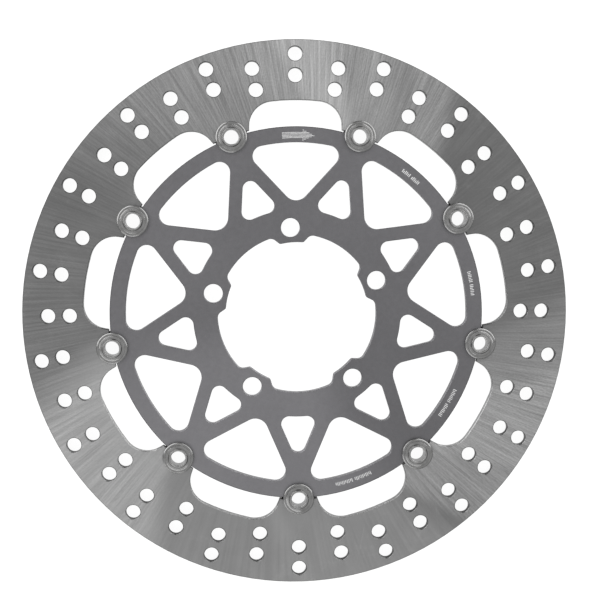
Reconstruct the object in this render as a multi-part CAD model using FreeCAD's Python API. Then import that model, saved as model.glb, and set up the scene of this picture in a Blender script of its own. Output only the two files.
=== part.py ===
import FreeCAD, Part
import math
import os

# Floating brake disc rotor for the front wheel of a motorcycle. Millimetres and degrees.
#
# +Z is the wheel axis and points out of the front face, +Y is twelve o'clock, and angles run
# anticlockwise from +X as seen from the front. The origin is the centre of the wheel bolt
# circle, on the raised seat at the back of the carrier that meets the wheel hub.
#
# A friction ring hangs on nine hollow bobbins round the rim of a flat carrier. Each bobbin sits
# in a pair of half-round notches, one in a tab of the ring and one in the rim of the carrier.
# Its back flange holds both plates from behind. A thrust washer holds them in front, pressed
# down by a wave washer that the bobbin's flared lip keeps in place.

# Both plates
DISC_RADIUS = 155.0
PLATE_THICKNESS = 5.0
SEAT_HEIGHT = 0.5
EDGE_BREAK = 0.35
PLATE_BACK = SEAT_HEIGHT
PLATE_FRONT = PLATE_BACK + PLATE_THICKNESS

# Bobbins and their places
BOBBIN_COUNT = 9
BOBBIN_STEP = 360.0 / BOBBIN_COUNT
FIRST_BOBBIN_ANGLE = 30.0
BOBBIN_CIRCLE_RADIUS = 106.6
BARREL_RADIUS = 6.8
BARREL_CLEARANCE = 0.08
RIM_GAP = 0.9

# One bobbin, from the back flange to the flared lip
FLANGE_RADIUS = 9.5
FLANGE_THICKNESS = 1.4
FLANGE_CHAMFER = 0.5
SHOULDER_DROP = 0.1
SPIGOT_RADIUS = 5.2
LIP_RADIUS = 5.7
LIP_THICKNESS = 1.0
LIP_FLANK_WIDTH = 0.55
BOBBIN_BORE_RADIUS = 4.15
BORE_CHAMFER = 0.4

# Washers on the front of each bobbin
WASHER_CLEARANCE = 0.08
THRUST_RADIUS = 8.8
THRUST_THICKNESS = 1.8
THRUST_CHAMFER_WIDTH = 0.5
THRUST_CHAMFER_DEPTH = 0.3
WAVE_RADIUS = 7.2
WAVE_THICKNESS = 0.3
WAVE_SPACE = 0.8
WAVE_PLAY = 0.02
WAVE_COUNT = 3
POINTS_PER_WAVE = 8

# Friction ring: scallops between its tabs, and vent holes in pairs, every second pair further out
SCALLOP_OUTER_RADIUS = 121.0
SCALLOP_HALF_WIDTH = 26.3
SCALLOP_CORNER_RADIUS = 14.0
VENT_PAIRS = 36
VENT_RADIUS = 4.1
VENT_PAIR_PITCH = 12.1
VENT_STAGGER = 6.3
VENT_FIRST_CIRCLE_RADIUS = 128.6

# Carrier: rounded three-sided windows, with straight spokes of one width between them
SPOKE_WIDTH = 7.5
LARGE_WINDOW_OUTER_RADIUS = 97.2
LARGE_WINDOW_APEX_RADIUS = 60.9
LARGE_WINDOW_HALF_ANGLE = 43.1
LARGE_WINDOW_CORNER_RADIUS = 5.9
LARGE_WINDOW_APEX_ROUNDING = 7.4
SMALL_WINDOW_INNER_RADIUS = 59.2
SMALL_WINDOW_CORNER_RADIUS = 4.5

# Hub: bolt holes, a centre opening with a locating land at each bolt, and the raised seat
BOLT_COUNT = 5
BOLT_CIRCLE_RADIUS = 49.0
BOLT_HOLE_RADIUS = 5.4
FIRST_BOLT_ANGLE = 22.0
CENTRE_RADIUS = 45.2
LAND_RADIUS = 40.6
LAND_TIP_HALF_WIDTH = 6.7
LAND_ROOT_HALF_WIDTH = 10.9
LAND_TIP_ROUNDING = 1.5
LAND_ROOT_ROUNDING = 4.0
SEAT_RADIUS = 57.0

CUT_MARGIN = 1.0
TOUCH = 0.001

ORIGIN = FreeCAD.Vector(0, 0, 0)
AXIS = FreeCAD.Vector(0, 0, 1)


def polar(radius, degrees, height=0.0):
    """A point at a radius and an angle from +X."""
    angle = math.radians(degrees)
    return FreeCAD.Vector(radius * math.cos(angle), radius * math.sin(angle), height)


def turned(shape, degrees):
    """A copy of a shape turned about the wheel axis."""
    copy = shape.copy()
    copy.rotate(ORIGIN, AXIS, degrees)
    return copy


def cylinder(radius, low, high, centre=ORIGIN):
    """An upright cylinder between two heights."""
    base = FreeCAD.Vector(centre.x, centre.y, low)
    return Part.makeCylinder(radius, high - low, base, AXIS)


def cutter(edges):
    """An upright prism on a closed outline, tall enough to cut right through the plates."""
    outline = Part.Wire(edges)
    outline.translate(FreeCAD.Vector(0, 0, -CUT_MARGIN))
    return Part.Face(outline).extrude(FreeCAD.Vector(0, 0, PLATE_FRONT + 2 * CUT_MARGIN))


def round_corners(prism, radius, corners):
    """Round the upright edges of a prism that pass through the given points."""
    edges = []
    for edge in prism.Edges:
        start = edge.Vertexes[0].Point
        end = edge.Vertexes[-1].Point
        upright = math.hypot(end.x - start.x, end.y - start.y) < TOUCH
        if upright and any(math.hypot(start.x - p.x, start.y - p.y) < TOUCH for p in corners):
            edges.append(edge)
    return prism.makeFillet(radius, edges)


def break_edges(plate, heights, left_sharp=0.0):
    """Chamfer every edge that lies at one of the heights, apart from circles of one radius."""
    edges = []
    for edge in plate.Edges:
        box = edge.BoundBox
        level = any(abs(box.ZMin - z) < TOUCH and abs(box.ZMax - z) < TOUCH for z in heights)
        round_edge = isinstance(edge.Curve, Part.Circle)
        sharp = round_edge and abs(edge.Curve.Radius - left_sharp) < TOUCH
        if level and not sharp:
            edges.append(edge)
    return plate.makeChamfer(EDGE_BREAK, edges)


def bobbin_angle(index):
    return FIRST_BOBBIN_ANGLE + index * BOBBIN_STEP


def bobbin_centre(index):
    return polar(BOBBIN_CIRCLE_RADIUS, bobbin_angle(index))


def bobbin_notches():
    """The round holes that leave half a notch in the ring's tabs and half in the carrier's rim."""
    radius = BARREL_RADIUS + BARREL_CLEARANCE
    return [cylinder(radius, -CUT_MARGIN, PLATE_FRONT + CUT_MARGIN, bobbin_centre(i))
            for i in range(BOBBIN_COUNT)]


def scallop():
    """The opening between two tabs of the ring, centred on +X: straight sides, rounded corners."""
    side = SCALLOP_HALF_WIDTH
    inner = BOBBIN_CIRCLE_RADIUS - 2 * BARREL_RADIUS
    outer = math.sqrt(SCALLOP_OUTER_RADIUS ** 2 - side ** 2)
    corners = [FreeCAD.Vector(outer, -side, 0), FreeCAD.Vector(outer, side, 0)]
    feet = [FreeCAD.Vector(inner, -side, 0), FreeCAD.Vector(inner, side, 0)]
    prism = cutter([
        Part.LineSegment(feet[0], corners[0]).toShape(),
        Part.Arc(corners[0], FreeCAD.Vector(SCALLOP_OUTER_RADIUS, 0, 0), corners[1]).toShape(),
        Part.LineSegment(corners[1], feet[1]).toShape(),
        Part.LineSegment(feet[1], feet[0]).toShape(),
    ])
    return round_corners(prism, SCALLOP_CORNER_RADIUS, corners)


def vents():
    """The vent holes, in radial pairs."""
    holes = []
    for pair in range(VENT_PAIRS):
        angle = pair * 360.0 / VENT_PAIRS
        inner = VENT_FIRST_CIRCLE_RADIUS + VENT_STAGGER * (pair % 2)
        for radius in (inner, inner + VENT_PAIR_PITCH):
            centre = polar(radius, angle)
            holes.append(cylinder(VENT_RADIUS, -CUT_MARGIN, PLATE_FRONT + CUT_MARGIN, centre))
    return holes


def friction_ring():
    """The steel ring that the pads grip, with a tab inward to each bobbin."""
    tab_radius = BOBBIN_CIRCLE_RADIUS + RIM_GAP / 2
    ring = cylinder(DISC_RADIUS, PLATE_BACK, PLATE_FRONT)
    between_tabs = FIRST_BOBBIN_ANGLE + BOBBIN_STEP / 2
    scallops = [turned(scallop(), between_tabs + i * BOBBIN_STEP) for i in range(BOBBIN_COUNT)]
    middle = cylinder(tab_radius, -CUT_MARGIN, PLATE_FRONT + CUT_MARGIN)
    ring = ring.cut([middle] + scallops + bobbin_notches() + vents())
    return break_edges(ring.Solids[0], (PLATE_BACK, PLATE_FRONT))


def window(apex_radius, half_angle, arc_radius, outward):
    """A three-sided window on +X: two sides spread from the apex to an arc about the wheel axis."""
    way = 1 if outward else -1
    sine = math.sin(math.radians(half_angle))
    cosine = math.cos(math.radians(half_angle))
    side = way * math.sqrt(arc_radius ** 2 - (apex_radius * sine) ** 2) - way * apex_radius * cosine
    apex = FreeCAD.Vector(apex_radius, 0, 0)
    left = apex + FreeCAD.Vector(way * side * cosine, side * sine, 0)
    right = apex + FreeCAD.Vector(way * side * cosine, -side * sine, 0)
    prism = cutter([
        Part.LineSegment(apex, right).toShape(),
        Part.Arc(right, FreeCAD.Vector(arc_radius, 0, 0), left).toShape(),
        Part.LineSegment(left, apex).toShape(),
    ])
    return prism, apex, [left, right]


def large_window():
    """A window under a scallop, wide at the rim and pointing inward."""
    prism, apex, corners = window(
        LARGE_WINDOW_APEX_RADIUS, LARGE_WINDOW_HALF_ANGLE, LARGE_WINDOW_OUTER_RADIUS, True)
    prism = round_corners(prism, LARGE_WINDOW_CORNER_RADIUS, corners)
    return round_corners(prism, LARGE_WINDOW_APEX_ROUNDING, [apex])


def small_window():
    """A window under a bobbin, pointing outward, with its sides parallel to the large ones."""
    half_angle = LARGE_WINDOW_HALF_ANGLE - BOBBIN_STEP / 2
    large_side_distance = LARGE_WINDOW_APEX_RADIUS * math.sin(math.radians(LARGE_WINDOW_HALF_ANGLE))
    apex_radius = (large_side_distance - SPOKE_WIDTH) / math.sin(math.radians(half_angle))
    prism, apex, corners = window(apex_radius, half_angle, SMALL_WINDOW_INNER_RADIUS, False)
    return round_corners(prism, SMALL_WINDOW_CORNER_RADIUS, corners + [apex])


def centre_opening():
    """The opening round the wheel hub: five lobes, with a land towards the middle at each bolt."""
    tip_angle = math.degrees(math.asin(LAND_TIP_HALF_WIDTH / LAND_RADIUS))
    root_angle = math.degrees(math.asin(LAND_ROOT_HALF_WIDTH / CENTRE_RADIUS))
    step = 360.0 / BOLT_COUNT
    edges = []
    tips = []
    roots = []
    for i in range(BOLT_COUNT):
        angle = FIRST_BOLT_ANGLE + i * step
        root_before = polar(CENTRE_RADIUS, angle - root_angle)
        tip_before = polar(LAND_RADIUS, angle - tip_angle)
        tip_after = polar(LAND_RADIUS, angle + tip_angle)
        root_after = polar(CENTRE_RADIUS, angle + root_angle)
        next_root = polar(CENTRE_RADIUS, angle + step - root_angle)
        edges.append(Part.LineSegment(root_before, tip_before).toShape())
        edges.append(Part.Arc(tip_before, polar(LAND_RADIUS, angle), tip_after).toShape())
        edges.append(Part.LineSegment(tip_after, root_after).toShape())
        edges.append(Part.Arc(root_after, polar(CENTRE_RADIUS, angle + step / 2), next_root).toShape())
        tips += [tip_before, tip_after]
        roots += [root_before, root_after]
    prism = round_corners(cutter(edges), LAND_ROOT_ROUNDING, roots)
    return round_corners(prism, LAND_TIP_ROUNDING, tips)


def bolt_holes():
    """The holes for the bolts that hold the rotor to the wheel."""
    step = 360.0 / BOLT_COUNT
    return [cylinder(BOLT_HOLE_RADIUS, -CUT_MARGIN, PLATE_FRONT + CUT_MARGIN,
                     polar(BOLT_CIRCLE_RADIUS, FIRST_BOLT_ANGLE + i * step))
            for i in range(BOLT_COUNT)]


def carrier():
    """The flat centre plate, with a thin raised seat round the bolt holes at the back."""
    plate = cylinder(BOBBIN_CIRCLE_RADIUS - RIM_GAP / 2, PLATE_BACK, PLATE_FRONT)
    plate = plate.fuse(cylinder(SEAT_RADIUS, 0, PLATE_BACK))
    large = large_window()
    small = small_window()
    cuts = [centre_opening()] + bolt_holes() + bobbin_notches()
    for i in range(BOBBIN_COUNT):
        cuts.append(turned(small, bobbin_angle(i)))
        cuts.append(turned(large, bobbin_angle(i) + BOBBIN_STEP / 2))
    plate = plate.cut(cuts).removeSplitter()
    return break_edges(plate.Solids[0], (0, PLATE_BACK, PLATE_FRONT), left_sharp=SEAT_RADIUS)


def revolved(profile):
    """A solid of revolution about the wheel axis, from edges that close a radius-height outline."""
    return Part.Face(Part.Wire(profile)).revolve(ORIGIN, AXIS, 360)


def polyline(points):
    """Straight edges through radius-height points."""
    vectors = [FreeCAD.Vector(radius, 0, height) for radius, height in points]
    return [Part.LineSegment(a, b).toShape() for a, b in zip(vectors, vectors[1:])]


def bobbin():
    """The hollow turned bobbin, with its front end flared outward into a coned lip."""
    back = PLATE_BACK - FLANGE_THICKNESS
    shoulder = PLATE_FRONT - SHOULDER_DROP
    lip_back = PLATE_FRONT + THRUST_THICKNESS + WAVE_SPACE
    front = lip_back + LIP_THICKNESS
    return revolved(polyline([
        (BOBBIN_BORE_RADIUS, front - BORE_CHAMFER),
        (BOBBIN_BORE_RADIUS, back + BORE_CHAMFER),
        (BOBBIN_BORE_RADIUS + BORE_CHAMFER, back),
        (FLANGE_RADIUS - FLANGE_CHAMFER, back),
        (FLANGE_RADIUS, back + FLANGE_CHAMFER),
        (FLANGE_RADIUS, PLATE_BACK),
        (BARREL_RADIUS, PLATE_BACK),
        (BARREL_RADIUS, shoulder),
        (SPIGOT_RADIUS, shoulder),
        (SPIGOT_RADIUS, lip_back),
        (LIP_RADIUS, lip_back),
        (LIP_RADIUS - LIP_FLANK_WIDTH, front),
        (BOBBIN_BORE_RADIUS + BORE_CHAMFER, front),
        (BOBBIN_BORE_RADIUS, front - BORE_CHAMFER),
    ]))


def thrust_washer():
    """The flat washer that lies on both plates, with a bevelled front edge."""
    inner = SPIGOT_RADIUS + WASHER_CLEARANCE
    front = PLATE_FRONT + THRUST_THICKNESS
    return revolved(polyline([
        (inner, PLATE_FRONT),
        (THRUST_RADIUS, PLATE_FRONT),
        (THRUST_RADIUS, front - THRUST_CHAMFER_DEPTH),
        (THRUST_RADIUS - THRUST_CHAMFER_WIDTH, front),
        (inner, front),
        (inner, PLATE_FRONT),
    ]))


def wave_edge(radius, middle_height, wave_height):
    """A closed curve round the wheel axis that rises and falls WAVE_COUNT times."""
    count = WAVE_COUNT * POINTS_PER_WAVE
    points = []
    for i in range(count):
        angle = 360.0 * i / count
        rise = wave_height / 2 * math.cos(math.radians(WAVE_COUNT * angle))
        points.append(polar(radius, angle, middle_height + rise))
    curve = Part.BSplineCurve()
    curve.interpolate(points, PeriodicFlag=True)
    return curve.toShape()


def wave_washer():
    """The sprung washer between the thrust washer and the flared lip."""
    bottom = PLATE_FRONT + THRUST_THICKNESS + WAVE_PLAY
    wave_height = WAVE_SPACE - 2 * WAVE_PLAY - WAVE_THICKNESS
    low = bottom + wave_height / 2
    high = low + WAVE_THICKNESS
    inner = SPIGOT_RADIUS + WASHER_CLEARANCE
    inner_low = wave_edge(inner, low, wave_height)
    inner_high = wave_edge(inner, high, wave_height)
    outer_low = wave_edge(WAVE_RADIUS, low, wave_height)
    outer_high = wave_edge(WAVE_RADIUS, high, wave_height)
    faces = [
        Part.makeRuledSurface(inner_low, outer_low),
        Part.makeRuledSurface(outer_low, outer_high),
        Part.makeRuledSurface(outer_high, inner_high),
        Part.makeRuledSurface(inner_high, inner_low),
    ]
    shell = Part.Shell(faces)
    solid = Part.Solid(shell)
    if solid.Volume < 0:
        solid.reverse()
    return solid


def at_bobbin(shape, index):
    """A copy of a piece made on the wheel axis, moved out to one bobbin and turned with it."""
    copy = turned(shape, bobbin_angle(index))
    copy.translate(bobbin_centre(index))
    return copy


def save(shape, node):
    """Write one piece to its own file, and say whether it is a sound single solid."""
    solids = len(shape.Solids)
    print(f"{node}: valid {shape.isValid()}, solids {solids}, volume {shape.Volume:.1f} mm3")
    shape.exportStep(f"parts/{node}.step")


def main():
    os.makedirs("parts", exist_ok=True)
    save(carrier(), "carrier")
    save(friction_ring(), "friction_ring")
    hardware = {"bobbin": bobbin(), "thrust_washer": thrust_washer(), "wave_washer": wave_washer()}
    for name, shape in hardware.items():
        for i in range(BOBBIN_COUNT):
            save(at_bobbin(shape, i), f"{name}_{i + 1}")


main()
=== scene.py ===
import math

import bpy
from mathutils import Matrix, Vector


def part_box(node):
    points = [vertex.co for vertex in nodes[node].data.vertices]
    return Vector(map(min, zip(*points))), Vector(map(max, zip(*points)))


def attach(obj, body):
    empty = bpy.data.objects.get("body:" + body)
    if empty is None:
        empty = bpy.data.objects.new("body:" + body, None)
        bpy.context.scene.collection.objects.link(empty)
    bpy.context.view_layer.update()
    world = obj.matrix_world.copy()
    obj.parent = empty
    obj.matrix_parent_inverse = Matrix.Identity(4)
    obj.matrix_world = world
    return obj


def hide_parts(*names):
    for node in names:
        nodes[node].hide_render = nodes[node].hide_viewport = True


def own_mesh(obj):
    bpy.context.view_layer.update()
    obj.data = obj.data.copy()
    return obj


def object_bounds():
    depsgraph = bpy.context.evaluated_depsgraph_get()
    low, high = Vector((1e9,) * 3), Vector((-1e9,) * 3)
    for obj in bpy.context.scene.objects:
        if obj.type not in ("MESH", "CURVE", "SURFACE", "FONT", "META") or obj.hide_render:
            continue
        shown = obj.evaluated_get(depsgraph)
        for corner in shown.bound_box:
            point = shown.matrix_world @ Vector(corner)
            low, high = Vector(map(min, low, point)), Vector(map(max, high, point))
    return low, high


# Looks of a floating brake disc rotor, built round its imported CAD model. Metres, unless a comment
# says otherwise. +Z points out of the front face, +Y is twelve o'clock, and the origin is on the
# wheel axis at the hub seat.
#
# The two plates keep their CAD meshes and get new materials. The bobbins and both kinds of washer
# are turned again here, with finer rounding than the CAD model needs. The marks etched on the
# carrier's rim are plain strokes and an arrow, with no lettering.

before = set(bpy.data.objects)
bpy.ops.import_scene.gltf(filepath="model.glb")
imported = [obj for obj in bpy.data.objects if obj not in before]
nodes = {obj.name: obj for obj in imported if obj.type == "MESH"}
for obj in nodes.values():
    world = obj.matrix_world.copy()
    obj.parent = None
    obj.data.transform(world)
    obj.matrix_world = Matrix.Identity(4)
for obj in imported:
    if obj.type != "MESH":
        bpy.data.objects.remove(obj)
cad_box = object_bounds()

MM = 0.001

# Bobbins and washers: what their boxes in the frame don't give
BOBBIN_COUNT = sum(1 for name in nodes if name.startswith("bobbin_"))
BARREL_RADIUS = 6.8 * MM
SPIGOT_RADIUS = 5.2 * MM
SPIGOT_CLEARANCE = 0.08 * MM
SHOULDER_DROP = 0.1 * MM
LIP_RADIUS = 5.7 * MM
LIP_THICKNESS = 1.0 * MM
LIP_FLANK_WIDTH = 0.55 * MM
LIP_CORNER = 0.12 * MM
BORE_RADIUS = 4.15 * MM
MOUTH_ROUNDING = 0.35 * MM
FLANGE_ROUNDING = 0.4 * MM
BEVEL_WIDTH = 0.5 * MM
BEVEL_DEPTH = 0.3 * MM
SHARP_CORNER = 0.05 * MM
WAVE_THICKNESS = 0.3 * MM
COIN_WIDTH = 0.45 * MM
COIN_DEPTH = 0.2 * MM
WAVE_COUNT = 3
TURNED_SEGMENTS = 96
CORNER_STEPS = 5
SHARP_ANGLE = math.radians(32)

# Etched marks on the carrier's rim: an arrow, and rows of plain strokes. Angles are in degrees, and
# a row is given by its middle angle and its number of strokes, counting the gap in its middle.
MARK_RADIUS = 101.2 * MM
MARK_HEIGHT = 0.02 * MM
MARK_STEPS = 6
STROKE_HEIGHT = 2.1 * MM
STROKE_WIDTH = 0.45 * MM
STROKE_PITCH = 0.95 * MM
SHORT_STROKE_CUT = STROKE_HEIGHT / 4
STROKE_ROWS = ((49.8, 13), (9.2, 15), (328.6, 19), (288.3, 23))
ARROW_TIP_ANGLE = 84.0
ARROW_LENGTH = 18.4 * MM
ARROW_HEAD_LENGTH = 6.5 * MM
ARROW_HEIGHT = 6.2 * MM
ARROW_SHAFT_HEIGHT = 3.6 * MM
ARROW_LINE_WIDTH = 0.3 * MM
ARROW_LINE_COUNT = 9

# Leans of the ring's grinding marks from the true radius, and of the fans of painted highlight that
# stand for their reflections, as slopes
GRIND_LEAN = 0.09
CROSS_LEAN = -0.25
SCRATCH_LEAN = -0.5
SHEEN_FAN_LEAN = 0.5

# Grinding marks: width at GRIND_RADIUS, length, and detail
GRIND_RADIUS = 135 * MM
WIDE_MARKS = (5 * MM, 90 * MM, 2.0)
MEDIUM_MARKS = (1.0 * MM, 60 * MM, 2.0)
FINE_MARKS = (0.36 * MM, 30 * MM, 2.0)
CROSS_MARKS = (0.5 * MM, 18 * MM, 2.0)
SCRATCH_MARKS = (0.35 * MM, 30 * MM, 0.0)

# How much brighter and darker than its grey the ring is in its marks, clouds and specks
WIDE_CHANGE = 0.06
MEDIUM_CHANGE = 0.10
FINE_CHANGE = 0.19
CROSS_CHANGE = 0.08
SPECK_CHANGE = 0.10
RING_CLOUD_CHANGE = 0.07
SCRATCH_GAIN = 0.15
SMUDGE_GAIN = 0.14

# Fans of painted highlight, standing for the ground steel's reflections of the lamps: (start, end, and
# softness of each edge, in degrees), gain over the ring's grey, and how much more strongly the streaks
# show there
PAINTED_SHEEN_FANS = (
    ((50, 134, 3, 14), 0.45, 0.58),
    ((52, 60, 2, 2), 0.22, 0.2),
    ((66, 102, 4, 6), 0.25, 0.2),
    ((79, 91, 3, 2), 0.58, 0.1),
    ((193, 301, 4, 6), 0.48, -0.12),
    ((199, 234, 4, 3), 0.52, 0.55),
    ((265, 270, 2, 2), 0.15, 0.0),
    ((305, 346, 2, 6), 0.58, 0.75),
    ((320, 344, 2, 4), 0.22, 0.2),
    ((346, 358, 4, 5), 0.36, 0.3),
)
QUIET_STREAKS = 0.2

# Broad painted light and shade on the carrier, lighter towards the lower left and a little darker
# towards the lower right:
# (start, end, and softness of each edge, in degrees), and gain over its grey
CARRIER_PAINTED_LIGHT = (
    ((195, 290, 18, 14), 0.26),
    ((305, 360, 12, 20), -0.08),
)
CARRIER_CLOUD_CHANGE = 0.05
MOTTLE_CHANGE = 0.02
GRAIN_CHANGE = 0.06

# Cut walls and bevels of the plates, against their faces. Painted shade darkens them in the drilled
# vents, in the notches of the bobbins and on the rims, less in the ring's scallops; in the carrier's
# openings they get a little painted light
SHADED_CUT_LEVEL = 0.6
OPEN_CUT_LEVEL = 1.1
SCALLOP_OPENNESS = 0.6
CARRIER_OPENINGS_REACH = 102 * MM
SCALLOPS_START = 111 * MM
SCALLOPS_REACH = 125 * MM
CUT_CHANGE = 1 * MM
STRIATION_CHANGE = 0.2

# How far up a surface faces: less than the first on a cut wall or bevel, more than the second on
# a face
WALL_FACING = 0.85
FACE_FACING = 0.98

# Tints of glancing reflections: on the faces, and on cut walls and bevels, where painted shade dims
# them most in the vents, notches and rims
FACE_GRAZING = 0.5
SHADED_GRAZING = 0.4
OPEN_GRAZING = 1.0

# Noise patterns: scale per metre, detail, and roughness where they aren't the usual ones
RING_CLOUD = (28.0, 5.0, 0.6)
RING_SMUDGE = (95.0, 4.0, 0.65)
RING_SPECK = (900.0,)
CARRIER_CLOUD = (14.0,)
CARRIER_MOTTLE = (420.0, 3.0, 0.6)
CARRIER_GRAIN = (3200.0, 2.0, 0.6)
CUT_STRIATIONS = (1700.0,)
TURNING_RINGS = (3600.0,)
TURNING_STAIN = (260.0,)
ETCHED_SPECKLE = (2600.0,)
FLOOR_CLOUD = (3.0,)

# Ranges of a noise that are stretched to the full change: the usual one, a narrower one for
# crisp marks, and the high ones that pick out rare scratches and smudges
NOISE_RANGE = (0.3, 0.7)
CRISP_RANGE = (0.35, 0.65)
SCRATCH_RANGE = (0.76, 0.84)
SMUDGE_RANGE = (0.55, 0.75)

# Greys of the metals
RING_GREY = 0.146
CARRIER_GREY = 0.13
BOBBIN_GREY = 0.24
THRUST_WASHER_GREY = 0.19
SPRING_GREY = 0.20
CARRIER_TINT = (1.0, 0.985, 1.03)
TURNED_TINT = (1.0, 0.998, 0.99)
ETCHED_GREYS = (0.34, 0.50)

# Roughness and depth of the finishes
RING_ROUGHNESS = (0.30, 0.44)
RING_ANISOTROPY = 0.55
RING_DEPTH = 0.004 * MM
MEDIUM_DEPTH_SHARE = 0.6
CARRIER_ROUGHNESS = (0.44, 0.50)
CARRIER_DEPTH = 0.004 * MM
BOBBIN_ROUGHNESS = 0.30
THRUST_WASHER_ROUGHNESS = 0.28
SPRING_ROUGHNESS = 0.30
TURNED_ROUGHNESS_CHANGE = 0.04
TURNED_ANISOTROPY = 0.7
TURNED_DEPTH = 0.003 * MM
RINGS_CHANGE = 0.12
STAIN_CHANGE = 0.10
ETCHED_ROUGHNESS = 0.7
QUARTER_TURN = 0.25

# Camera: its lens is in millimetres, and its shift in widths of the picture
CAMERA_PLACE = Vector((-0.0382, 0.0678, 0.8560))
CAMERA_FORWARD = Vector((0.0627, -0.0640, -0.9960))
CAMERA_UP = Vector((0.0106, 0.9979, -0.0634))
CAMERA_LENS = 87.9
CAMERA_SHIFT = (-0.0463, -0.0275)

# Soft panels: place, length, height, and power in watts
PANELS = {
    "left_panel": (Vector((-0.34, 0.25, 0.22)), 0.60, 0.30, 2.2),
    "right_panel": (Vector((0.34, 0.27, 0.22)), 0.60, 0.30, 2.2),
    "front_panel": (Vector((-0.22, -0.45, 0.34)), 0.70, 0.35, 1.8),
}

# Floor: its size, the gap under the rotor, and its finish
FLOOR_HALF_WIDTH = 6.0
FLOOR_GAP = 0.1 * MM
FLOOR_GREYS = (0.12, 0.14)
FLOOR_ROUGHNESS = 0.9
FLOOR_GLOW = 0.93

# The surround's brightness low down and overhead, what it loses beyond twelve o'clock, and the
# stretch of height, and of the way to twelve o'clock, over which each changes
ROOM_BRIGHTNESS = (0.45, 1.0)
ROOM_HEIGHTS = (0.1, 0.85)
ROOM_LOSS = 0.3
ROOM_LOSS_STRETCH = (0.3, 0.9)


# ---------------------------------------------------------------- shader node helpers

def new_material(name):
    """A node material with only its Principled shader."""
    material = bpy.data.materials.new(name)
    material.use_nodes = True
    return material, material.node_tree, material.node_tree.nodes["Principled BSDF"]


def add_node(tree, kind, inputs, **settings):
    """Add a shader node. Each input is given a value, or another node's output."""
    node = tree.nodes.new(kind)
    for name, value in settings.items():
        setattr(node, name, value)
    for name, value in inputs.items():
        if isinstance(value, bpy.types.NodeSocket):
            tree.links.new(value, node.inputs[name])
        else:
            node.inputs[name].default_value = value
    return node


def calculate(tree, operation, *values):
    inputs = dict(enumerate(values))
    return add_node(tree, "ShaderNodeMath", inputs, operation=operation).outputs[0]


def stretched(tree, value, low, high, new_low, new_high):
    """Map a range of a value to a new range, smoothly and without going past it."""
    inputs = {
        "Value": value,
        "From Min": low,
        "From Max": high,
        "To Min": new_low,
        "To Max": new_high,
    }
    return add_node(tree, "ShaderNodeMapRange", inputs, interpolation_type="SMOOTHSTEP").outputs[0]


def varied(tree, pattern, change, middle=0.0):
    """A noise stretched to a change either way of a middle value."""
    return stretched(tree, pattern, *NOISE_RANGE, middle - change, middle + change)


def noise(tree, place, scale, detail=2.0, roughness=0.5):
    inputs = {"Vector": place, "Scale": scale, "Detail": detail, "Roughness": roughness}
    return add_node(tree, "ShaderNodeTexNoise", inputs).outputs[0]


def place_on_object(tree):
    """The point being shaded, in metres from its object's own origin."""
    return add_node(tree, "ShaderNodeTexCoord", {}).outputs["Object"]


def parts_of(tree, vector):
    """The three coordinates of a vector."""
    apart = add_node(tree, "ShaderNodeSeparateXYZ", {"Vector": vector})
    return apart.outputs[0], apart.outputs[1], apart.outputs[2]


def vector_of(tree, x, y, z):
    return add_node(tree, "ShaderNodeCombineXYZ", {0: x, 1: y, 2: z}).outputs[0]


def grey(tree, value, tint=(1.0, 1.0, 1.0)):
    """A colour of one brightness, with a slight tint."""
    parts = [calculate(tree, "MULTIPLY", value, share) for share in tint]
    return add_node(tree, "ShaderNodeCombineColor", dict(enumerate(parts))).outputs[0]


def facing_up(tree):
    """How far the surface faces along the wheel axis: 1 on a face, 0 on a wall."""
    normal = add_node(tree, "ShaderNodeNewGeometry", {}).outputs["True Normal"]
    _, _, upward = parts_of(tree, normal)
    return calculate(tree, "ABSOLUTE", upward)


def bump(tree, height, depth):
    inputs = {"Height": height, "Distance": depth, "Strength": 1.0}
    return add_node(tree, "ShaderNodeBump", inputs).outputs[0]


def added(tree, *values):
    total = values[0]
    for value in values[1:]:
        total = calculate(tree, "ADD", total, value)
    return total


def squared(tree, value):
    return calculate(tree, "MULTIPLY", value, value)


def distance_from_axis(tree, x, y):
    return calculate(tree, "SQRT", added(tree, squared(tree, x), squared(tree, y)))


def drawn_out_highlights(tree, shader, anisotropy):
    """Stretch the reflections, by directions taken round the object's own upright axis."""
    shader.inputs["Anisotropic"].default_value = anisotropy
    around = add_node(tree, "ShaderNodeTangent", {}, direction_type="RADIAL", axis="Z").outputs[0]
    tree.links.new(around, shader.inputs["Tangent"])


# ---------------------------------------------------------------- materials

def leaning_place(tree, x, y, lean):
    """The direction from the axis, turned back so that it stays the same along a leaning line."""
    radius = distance_from_axis(tree, x, y)
    angle = calculate(tree, "ARCTAN2", y, x)
    growth = calculate(tree, "LOGARITHM", calculate(tree, "DIVIDE", radius, GRIND_RADIUS), math.e)
    angle = calculate(tree, "SUBTRACT", angle, calculate(tree, "MULTIPLY", growth, lean))
    return calculate(tree, "COSINE", angle), calculate(tree, "SINE", angle)


def streaks(tree, radius, across, along, width, length, detail):
    """Noise drawn out into marks of a given width and length along the grinding direction."""
    around = GRIND_RADIUS / width
    place = vector_of(
        tree,
        calculate(tree, "MULTIPLY", across, around),
        calculate(tree, "MULTIPLY", along, around),
        calculate(tree, "DIVIDE", radius, length),
    )
    return noise(tree, place, 1.0, detail)


def past(tree, across, along, degrees, softness):
    """0 before an angle and 1 after it, with a soft change between."""
    angle = math.radians(degrees)
    beyond = calculate(
        tree, "SUBTRACT",
        calculate(tree, "MULTIPLY", along, math.cos(angle)),
        calculate(tree, "MULTIPLY", across, math.sin(angle)),
    )
    reach = math.sin(math.radians(softness))
    return stretched(tree, beyond, -reach, reach, 0.0, 1.0)


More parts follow.
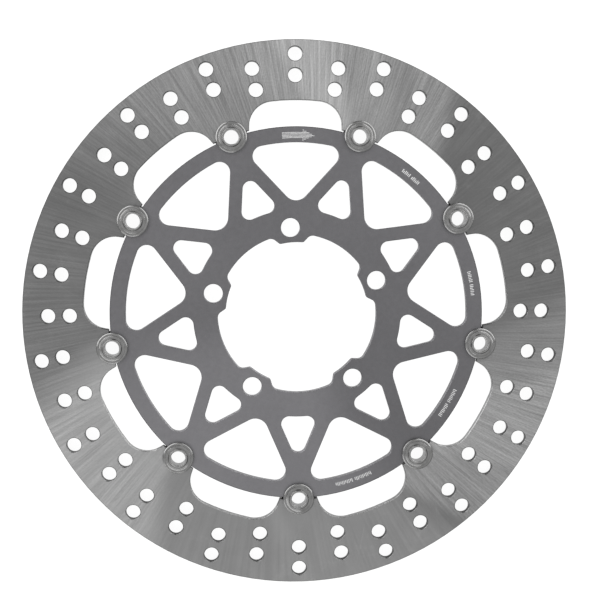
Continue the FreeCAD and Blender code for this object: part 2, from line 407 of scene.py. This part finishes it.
def wedge(tree, across, along, start, end, start_softness, end_softness):
    """1 between two angles less than a half turn apart, and 0 elsewhere."""
    begun = past(tree, across, along, start, start_softness)
    ended = past(tree, across, along, end, end_softness)
    return calculate(tree, "MULTIPLY", begun, calculate(tree, "SUBTRACT", 1.0, ended))


def within(tree, radius, reach):
    """1 nearer the axis than a radius, and 0 beyond it."""
    return stretched(tree, radius, reach - CUT_CHANGE, reach + CUT_CHANGE, 1.0, 0.0)


def shaded_cut_edges(tree, shader, x, y, openness):
    """How bright a plate is against its face: 1 on a face, and on a cut wall or bevel striated upright
    and darkened as painted shade, less where it is more open. Glancing reflections are tinted here
    too, and dimmed there as painted shade."""
    on_face = stretched(tree, facing_up(tree), WALL_FACING, FACE_FACING, 0.0, 1.0)
    on_cut = stretched(tree, openness, 0.0, 1.0, SHADED_GRAZING, OPEN_GRAZING)
    tint = stretched(tree, on_face, 0.0, 1.0, on_cut, FACE_GRAZING)
    tree.links.new(grey(tree, tint), shader.inputs["Specular Tint"])
    striations = noise(tree, vector_of(tree, x, y, 0.0), *CUT_STRIATIONS)
    cut = calculate(
        tree, "MULTIPLY",
        stretched(tree, openness, 0.0, 1.0, SHADED_CUT_LEVEL, OPEN_CUT_LEVEL),
        varied(tree, striations, STRIATION_CHANGE, 1.0),
    )
    return stretched(tree, on_face, 0.0, 1.0, cut, 1.0)


def painted_sheen_fans(tree, across, along):
    """The gains in brightness and in streakiness of all the fans of painted highlight."""
    gains = []
    streakiness = []
    for edges, gain, busy in PAINTED_SHEEN_FANS:
        inside = wedge(tree, across, along, *edges)
        gains.append(calculate(tree, "MULTIPLY", inside, gain))
        streakiness.append(calculate(tree, "MULTIPLY", inside, busy))
    return gains, streakiness


def ring_material():
    """Ground stainless steel: leaning radial streaks with finer ones across them, fans of painted
    highlight standing for the steel's reflections of the lamps, clouds, smudges, a few scratches, and
    painted shade on its cut walls and bevels."""
    material, tree, shader = new_material("ground_steel")
    place = place_on_object(tree)
    x, y, _ = parts_of(tree, place)
    radius = distance_from_axis(tree, x, y)
    ground = leaning_place(tree, x, y, GRIND_LEAN)
    crossed = leaning_place(tree, x, y, CROSS_LEAN)
    scratched = leaning_place(tree, x, y, SCRATCH_LEAN)
    fanned = leaning_place(tree, x, y, SHEEN_FAN_LEAN)
    wide = streaks(tree, radius, *ground, *WIDE_MARKS)
    medium = streaks(tree, radius, *ground, *MEDIUM_MARKS)
    fine = streaks(tree, radius, *ground, *FINE_MARKS)
    cross = streaks(tree, radius, *crossed, *CROSS_MARKS)
    scratch = streaks(tree, radius, *scratched, *SCRATCH_MARKS)
    cloud = noise(tree, place, *RING_CLOUD)
    smudge = noise(tree, place, *RING_SMUDGE)
    speck = noise(tree, place, *RING_SPECK)

    # Fans of painted highlight, standing for the ground steel's reflections of the lamps
    gains, streakiness = painted_sheen_fans(tree, *fanned)
    grain = added(
        tree,
        varied(tree, wide, WIDE_CHANGE),
        varied(tree, medium, MEDIUM_CHANGE),
        stretched(tree, fine, *CRISP_RANGE, -FINE_CHANGE, FINE_CHANGE),
        stretched(tree, cross, *CRISP_RANGE, -CROSS_CHANGE, CROSS_CHANGE),
        varied(tree, speck, SPECK_CHANGE),
    )
    level = calculate(tree, "MULTIPLY", RING_GREY, added(
        tree,
        1.0,
        *gains,
        calculate(tree, "MULTIPLY", grain, added(tree, QUIET_STREAKS, *streakiness)),
        stretched(tree, scratch, *SCRATCH_RANGE, 0.0, SCRATCH_GAIN),
        varied(tree, cloud, RING_CLOUD_CHANGE),
        stretched(tree, smudge, *SMUDGE_RANGE, 0.0, SMUDGE_GAIN),
    ))
    # Painted shade on the cut walls and bevels: full in the vents, notches and rims, less in the
    # scallops
    in_scallops = calculate(
        tree, "SUBTRACT",
        within(tree, radius, SCALLOPS_REACH),
        within(tree, radius, SCALLOPS_START),
    )
    openness = calculate(tree, "MULTIPLY", in_scallops, SCALLOP_OPENNESS)
    level = calculate(tree, "MULTIPLY", level, shaded_cut_edges(tree, shader, x, y, openness))
    tree.links.new(grey(tree, level), shader.inputs["Base Color"])
    shader.inputs["Metallic"].default_value = 1.0
    drawn_out_highlights(tree, shader, RING_ANISOTROPY)
    roughness = stretched(tree, medium, *NOISE_RANGE, *RING_ROUGHNESS)
    tree.links.new(roughness, shader.inputs["Roughness"])
    height = added(tree, fine, calculate(tree, "MULTIPLY", medium, MEDIUM_DEPTH_SHARE))
    tree.links.new(bump(tree, height, RING_DEPTH), shader.inputs["Normal"])
    return material


def carrier_material():
    """Satin dark grey plate: fine tumbled grain, soft clouding, broad painted light and shade, and
    painted shade on its cut walls and bevels, with a little painted light in its openings.
    """
    material, tree, shader = new_material("satin_carrier")
    place = place_on_object(tree)
    x, y, _ = parts_of(tree, place)
    cloud = noise(tree, place, *CARRIER_CLOUD)
    mottle = noise(tree, place, *CARRIER_MOTTLE)
    grain = noise(tree, place, *CARRIER_GRAIN)
    straight = leaning_place(tree, x, y, 0.0)
    # Broad painted light and shade: lighter towards the lower left, a little darker towards the lower
    # right
    painted_tones = [calculate(tree, "MULTIPLY", wedge(tree, *straight, *edges), gain)
             for edges, gain in CARRIER_PAINTED_LIGHT]
    level = calculate(tree, "MULTIPLY", CARRIER_GREY, added(
        tree,
        1.0,
        varied(tree, cloud, CARRIER_CLOUD_CHANGE),
        varied(tree, mottle, MOTTLE_CHANGE),
        varied(tree, grain, GRAIN_CHANGE),
        *painted_tones,
    ))
    # Painted shade on the cut walls and bevels of the notches and rim, and a little painted light on
    # those of the openings
    openness = within(tree, distance_from_axis(tree, x, y), CARRIER_OPENINGS_REACH)
    level = calculate(tree, "MULTIPLY", level, shaded_cut_edges(tree, shader, x, y, openness))
    tree.links.new(grey(tree, level, CARRIER_TINT), shader.inputs["Base Color"])
    shader.inputs["Metallic"].default_value = 1.0
    roughness = stretched(tree, mottle, *NOISE_RANGE, *CARRIER_ROUGHNESS)
    tree.links.new(roughness, shader.inputs["Roughness"])
    tree.links.new(bump(tree, grain, CARRIER_DEPTH), shader.inputs["Normal"])
    return material


def turned_material(name, level, roughness):
    """Lathe-turned steel: fine rings round each piece's own axis, and slight staining."""
    material, tree, shader = new_material(name)
    place = place_on_object(tree)
    x, y, z = parts_of(tree, place)
    section = vector_of(tree, distance_from_axis(tree, x, y), z, 0.0)
    rings = noise(tree, section, *TURNING_RINGS)
    stain = noise(tree, place, *TURNING_STAIN)
    value = calculate(tree, "MULTIPLY", level, added(
        tree,
        1.0,
        varied(tree, rings, RINGS_CHANGE),
        varied(tree, stain, STAIN_CHANGE),
    ))
    tree.links.new(grey(tree, value, TURNED_TINT), shader.inputs["Base Color"])
    shader.inputs["Metallic"].default_value = 1.0
    drawn_out_highlights(tree, shader, TURNED_ANISOTROPY)
    shader.inputs["Anisotropic Rotation"].default_value = QUARTER_TURN
    tree.links.new(varied(tree, stain, TURNED_ROUGHNESS_CHANGE, roughness), shader.inputs["Roughness"])
    tree.links.new(bump(tree, rings, TURNED_DEPTH), shader.inputs["Normal"])
    return material


def etched_material():
    """Laser-etched marking: pale, dull and slightly uneven."""
    material, tree, shader = new_material("etched_mark")
    speckle = noise(tree, place_on_object(tree), *ETCHED_SPECKLE)
    level = stretched(tree, speckle, *CRISP_RANGE, *ETCHED_GREYS)
    tree.links.new(grey(tree, level), shader.inputs["Base Color"])
    shader.inputs["Roughness"].default_value = ETCHED_ROUGHNESS
    return material


def floor_material():
    """A pale surface, lit a little from within like a light table, and clear from below."""
    material, tree, shader = new_material("pale_floor")
    cloud = noise(tree, place_on_object(tree), *FLOOR_CLOUD)
    level = stretched(tree, cloud, *NOISE_RANGE, *FLOOR_GREYS)
    tree.links.new(grey(tree, level), shader.inputs["Base Color"])
    shader.inputs["Roughness"].default_value = FLOOR_ROUGHNESS
    shader.inputs["Emission Color"].default_value = (1.0, 1.0, 1.0, 1.0)
    shader.inputs["Emission Strength"].default_value = FLOOR_GLOW
    see_through = add_node(tree, "ShaderNodeBsdfTransparent", {}).outputs[0]
    from_below = add_node(tree, "ShaderNodeNewGeometry", {}).outputs["Backfacing"]
    shaders = {0: from_below, 1: shader.outputs[0], 2: see_through}
    either = add_node(tree, "ShaderNodeMixShader", shaders)
    tree.links.new(either.outputs[0], tree.nodes["Material Output"].inputs["Surface"])
    return material


# ---------------------------------------------------------------- meshes

def piece_of(name, vertices, faces, material):
    """A new smooth-shaded mesh piece, sharp at its true corners."""
    mesh = bpy.data.meshes.new(name)
    mesh.from_pydata([tuple(vertex) for vertex in vertices], [], faces)
    mesh.materials.append(material)
    mesh.shade_smooth()
    mesh.set_sharp_from_angle(angle=SHARP_ANGLE)
    mesh.validate()
    piece = bpy.data.objects.new(name, mesh)
    bpy.context.scene.collection.objects.link(piece)
    return piece


def rounded(profile):
    """Replace each corner (radius, height, rounding) of a closed profile by a short curve."""
    points = []
    count = len(profile)
    for i in range(count):
        corner = Vector(profile[i][:2])
        reach = profile[i][2]
        before = (Vector(profile[i - 1][:2]) - corner).normalized()
        after = (Vector(profile[(i + 1) % count][:2]) - corner).normalized()
        start = corner + before * reach
        end = corner + after * reach
        for step in range(CORNER_STEPS + 1):
            along = step / CORNER_STEPS
            left = 1 - along
            points.append(start * left ** 2 + corner * 2 * along * left + end * along ** 2)
    return points


def closed_ring(name, section_at, centre, material):
    """A ring about an upright axis, from its closed (radius, height) section at each angle."""
    vertices = []
    faces = []
    for i in range(TURNED_SEGMENTS):
        angle = 2 * math.pi * i / TURNED_SEGMENTS
        following = (i + 1) % TURNED_SEGMENTS
        section = section_at(angle)
        count = len(section)
        for j, (radius, height) in enumerate(section):
            vertices.append((radius * math.cos(angle), radius * math.sin(angle), height))
            k = (j + 1) % count
            faces.append((i * count + j, following * count + j, following * count + k, i * count + k))
    piece = piece_of(name, vertices, faces, material)
    piece.location = (centre.x, centre.y, 0.0)
    return piece


def lathe(name, profile, centre, material):
    """Turn a closed (radius, height, rounding) profile about an upright axis."""
    points = rounded(profile)
    return closed_ring(name, lambda angle: points, centre, material)


def centre_of(node):
    low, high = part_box(node)
    return (low + high) / 2


def bobbin(index, material):
    """A hollow bobbin: back flange, barrel, spigot, and the front end flared into a coned lip."""
    node = f"bobbin_{index}"
    low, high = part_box(node)
    flange_radius = (high.x - low.x) / 2
    plate_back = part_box("friction_ring")[0].z
    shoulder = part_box("friction_ring")[1].z - SHOULDER_DROP
    lip_back = high.z - LIP_THICKNESS
    piece = lathe(f"turned_bobbin_{index}", [
        (BORE_RADIUS, low.z, FLANGE_ROUNDING),
        (flange_radius, low.z, FLANGE_ROUNDING),
        (flange_radius, plate_back, SHARP_CORNER),
        (BARREL_RADIUS, plate_back, SHARP_CORNER),
        (BARREL_RADIUS, shoulder, SHARP_CORNER),
        (SPIGOT_RADIUS, shoulder, SHARP_CORNER),
        (SPIGOT_RADIUS, lip_back, SHARP_CORNER),
        (LIP_RADIUS, lip_back, SHARP_CORNER),
        (LIP_RADIUS - LIP_FLANK_WIDTH, high.z, LIP_CORNER),
        (BORE_RADIUS, high.z, MOUTH_ROUNDING),
    ], centre_of(node), material)
    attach(piece, node)
    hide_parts(node)


def thrust_washer(index, material):
    """The flat washer on both plates, bevelled at its front edge."""
    node = f"thrust_washer_{index}"
    low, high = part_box(node)
    outer = (high.x - low.x) / 2
    inner = SPIGOT_RADIUS + SPIGOT_CLEARANCE
    piece = lathe(f"bevelled_washer_{index}", [
        (inner, low.z, SHARP_CORNER),
        (outer, low.z, SHARP_CORNER),
        (outer, high.z - BEVEL_DEPTH, SHARP_CORNER),
        (outer - BEVEL_WIDTH, high.z, SHARP_CORNER),
        (inner, high.z, SHARP_CORNER),
    ], centre_of(node), material)
    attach(piece, "friction_ring")
    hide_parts(node)


def wave_washer(index, material):
    """The sprung washer under the lip, built in fixed waves; on the rotor the ring squeezes it flatter
    as it floats.
    """
    node = f"wave_washer_{index}"
    low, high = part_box(node)
    centre = centre_of(node)
    outer = (high.x - low.x) / 2
    inner = SPIGOT_RADIUS + SPIGOT_CLEARANCE
    turn = math.atan2(centre.y, centre.x)
    wave = high.z - low.z - WAVE_THICKNESS

    def section_at(angle):
        bottom = low.z + wave * (0.5 + 0.5 * math.cos(WAVE_COUNT * (angle - turn)))
        top = bottom + WAVE_THICKNESS
        return [(inner, bottom), (outer, bottom), (outer, top - COIN_DEPTH),
                (outer - COIN_WIDTH, top), (inner, top)]

    piece = closed_ring(f"sprung_washer_{index}", section_at, centre, material)
    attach(piece, f"bobbin_{index}")
    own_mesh(piece)
    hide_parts(node)


def raised_band(vertices, faces, inner, outer, start, end):
    """Add a thin raised band on the carrier's front, between two radii and two angles."""
    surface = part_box("carrier")[1].z
    corners = ((inner, 0.0), (inner, MARK_HEIGHT), (outer, MARK_HEIGHT), (outer, 0.0))
    count = len(corners)
    first = len(vertices)
    for step in range(MARK_STEPS + 1):
        angle = start + (end - start) * step / MARK_STEPS
        for radius, height in corners:
            vertices.append((radius * math.cos(angle), radius * math.sin(angle), surface + height))
    for step in range(MARK_STEPS):
        for j in range(count - 1):
            here = first + count * step + j
            faces.append((here, here + 1, here + 1 + count, here + count))
    last = first + count * MARK_STEPS
    faces.append((first + 3, first + 2, first + 1, first))
    faces.append((last, last + 1, last + 2, last + 3))


def etched_strokes(vertices, faces):
    """Rows of plain upright strokes, each in two groups. Every third stroke is shorter."""
    half_width = STROKE_WIDTH / 2 / MARK_RADIUS
    inner = MARK_RADIUS - STROKE_HEIGHT / 2
    for middle, count in STROKE_ROWS:
        for i in range(count):
            if i != count // 2:
                offset = (i - (count - 1) / 2) * STROKE_PITCH
                angle = math.radians(middle) - offset / MARK_RADIUS
                cut = SHORT_STROKE_CUT if i % 3 == 1 else 0.0
                outer = MARK_RADIUS + STROKE_HEIGHT / 2 - cut
                raised_band(vertices, faces, inner, outer, angle - half_width, angle + half_width)


def etched_arrow(vertices, faces):
    """A hatched arrow that follows the rim and points clockwise."""
    tip = math.radians(ARROW_TIP_ANGLE)
    half_line = ARROW_LINE_WIDTH / 2
    spacing = (ARROW_HEIGHT - ARROW_LINE_WIDTH) / (ARROW_LINE_COUNT - 1)
    for i in range(ARROW_LINE_COUNT):
        offset = (i - (ARROW_LINE_COUNT - 1) / 2) * spacing
        ahead = abs(offset) / (ARROW_HEIGHT / 2) * ARROW_HEAD_LENGTH
        on_shaft = abs(offset) < ARROW_SHAFT_HEIGHT / 2
        behind = ARROW_LENGTH if on_shaft else ARROW_HEAD_LENGTH + ARROW_LINE_WIDTH
        middle = MARK_RADIUS + offset
        raised_band(vertices, faces, middle - half_line, middle + half_line,
                    tip + behind / MARK_RADIUS, tip + ahead / MARK_RADIUS)


def etched_marks():
    """Plain etched marks where such a part carries its maker's: an arrow and rows of strokes."""
    vertices = []
    faces = []
    etched_strokes(vertices, faces)
    etched_arrow(vertices, faces)
    piece = piece_of("etched_marks", vertices, faces, etched_material())
    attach(piece, "carrier")


# ---------------------------------------------------------------- stage

def stage_floor():
    """A wide pale floor just under the rotor's lowest face."""
    height = cad_box[0].z - FLOOR_GAP
    half = FLOOR_HALF_WIDTH
    corners = ((-half, -half), (half, -half), (half, half), (-half, half))
    vertices = [(x, y, height) for x, y in corners]
    floor = piece_of("floor", vertices, [(0, 1, 2, 3)], floor_material())


def light_panel(name, place, length, height, power):
    """A long soft panel standing beside the rotor and facing its middle."""
    light = bpy.data.lights.new(name, "AREA")
    light.shape = "RECTANGLE"
    light.size = length
    light.size_y = height
    light.energy = power
    lamp = bpy.data.objects.new(name, light)
    bpy.context.scene.collection.objects.link(lamp)
    lamp.location = place
    lamp.rotation_euler = (-place).to_track_quat("-Z", "Y").to_euler()
    lamp.visible_camera = False


def room():
    """A pale surround, full overhead, dimmer low down and dimmest low beyond twelve o'clock.
    Behind the rotor it shows as plain white."""
    world = bpy.data.worlds.new("studio")
    world.use_nodes = True
    bpy.context.scene.world = world
    tree = world.node_tree
    direction = add_node(tree, "ShaderNodeTexCoord", {}).outputs["Generated"]
    _, to_twelve, upward = parts_of(tree, direction)
    overhead = stretched(tree, upward, *ROOM_HEIGHTS, *ROOM_BRIGHTNESS)
    beyond = stretched(tree, to_twelve, *ROOM_LOSS_STRETCH, 0.0, ROOM_LOSS)
    seen = add_node(tree, "ShaderNodeLightPath", {}).outputs["Is Camera Ray"]
    strength = calculate(tree, "MAXIMUM", calculate(tree, "SUBTRACT", overhead, beyond), seen)
    tree.links.new(strength, tree.nodes["Background"].inputs["Strength"])
    tree.nodes["Background"].inputs["Color"].default_value = (1.0, 1.0, 1.0, 1.0)
    for name, settings in PANELS.items():
        light_panel(name, *settings)


def camera():
    """Nearly straight above the front face, a little to the left and towards twelve o'clock."""
    data = bpy.data.cameras.new("camera")
    data.lens = CAMERA_LENS
    data.shift_x, data.shift_y = CAMERA_SHIFT
    view = bpy.data.objects.new("camera", data)
    bpy.context.scene.collection.objects.link(view)
    back = -CAMERA_FORWARD.normalized()
    right = CAMERA_UP.cross(back).normalized()
    up = back.cross(right)
    turn = Matrix((right, up, back)).transposed().to_4x4()
    view.matrix_world = Matrix.Translation(CAMERA_PLACE) @ turn
    bpy.context.scene.camera = view


# ---------------------------------------------------------------- the whole scene

def dress_plates():
    """Give the two plates, which keep their CAD meshes, their new materials."""
    for name, material in (("carrier", carrier_material()), ("friction_ring", ring_material())):
        for slot in nodes[name].material_slots:
            slot.material = material


def main():
    bpy.context.scene.view_settings.view_transform = "Standard"
    camera()
    room()
    stage_floor()
    dress_plates()
    bobbin_steel = turned_material("turned_bobbin_steel", BOBBIN_GREY, BOBBIN_ROUGHNESS)
    washer_steel = turned_material("thrust_washer_steel", THRUST_WASHER_GREY, THRUST_WASHER_ROUGHNESS)
    spring_steel = turned_material("spring_steel", SPRING_GREY, SPRING_ROUGHNESS)
    for index in range(1, BOBBIN_COUNT + 1):
        bobbin(index, bobbin_steel)
        thrust_washer(index, washer_steel)
        wave_washer(index, spring_steel)
    etched_marks()


main()
